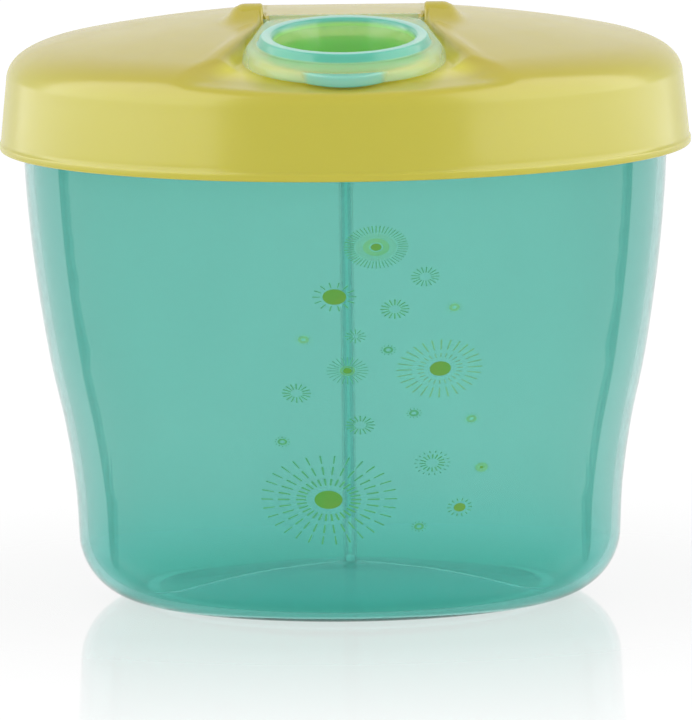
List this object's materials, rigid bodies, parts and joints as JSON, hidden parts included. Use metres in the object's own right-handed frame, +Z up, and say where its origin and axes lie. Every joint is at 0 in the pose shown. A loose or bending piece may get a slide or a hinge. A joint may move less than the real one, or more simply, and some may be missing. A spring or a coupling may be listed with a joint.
{
  "type": "formula dispenser",
  "caption": "Round baby formula dispenser: tub with a three-way divider, turning domed lid and a flip cap over its pouring spout.",
  "frame": {"origin": "centre of the flat ring that the tub stands on, at the height of that ring", "axes": "+Z up along the tub's axis, -Y towards the front, where the spout and its flip cap are, +X to the right seen from the front"},
  "size_m": [0.11, 0.11, 0.0955],
  "materials": {
    "tub_plastic": "translucent aqua polypropylene, satin gloss",
    "divider_plastic": "translucent aqua polypropylene, fine satin",
    "lid_plastic": "soft yellow polypropylene, glossy",
    "disc_plastic": "soft yellow polypropylene, satin",
    "seal_rubber": "milky silicone",
    "cap_plastic": "clear aqua polypropylene, glossy",
    "print_ink": "green pad-printed ink"
  },
  "bodies": {
    "tub_body": {"tub": "tub_plastic", "divider_insert": "divider_plastic"},
    "seal_body": {"lid_seal": "seal_rubber"},
    "lid_body": {"lid": "lid_plastic", "closure_disc": "disc_plastic"},
    "cap_body": {"flip_cap": "cap_plastic"}
  },
  "joints": [
    {"name": "lid_lift", "type": "slide", "parent": "tub_body", "child": "seal_body", "axis": [0, 0, 1], "range_m": [0, 0.06]},
    {"name": "lid_turn", "type": "hinge", "parent": "seal_body", "child": "lid_body", "pos_m": [0, 0, 0.08], "axis": [0, 0, 1], "continuous": true},
    {"name": "cap_flip", "type": "hinge", "parent": "lid_body", "child": "cap_body", "pos_m": [0, -0.00901, 0.09224], "axis": [-1, 0, 0], "range_deg": [0, 125]}
  ]
}
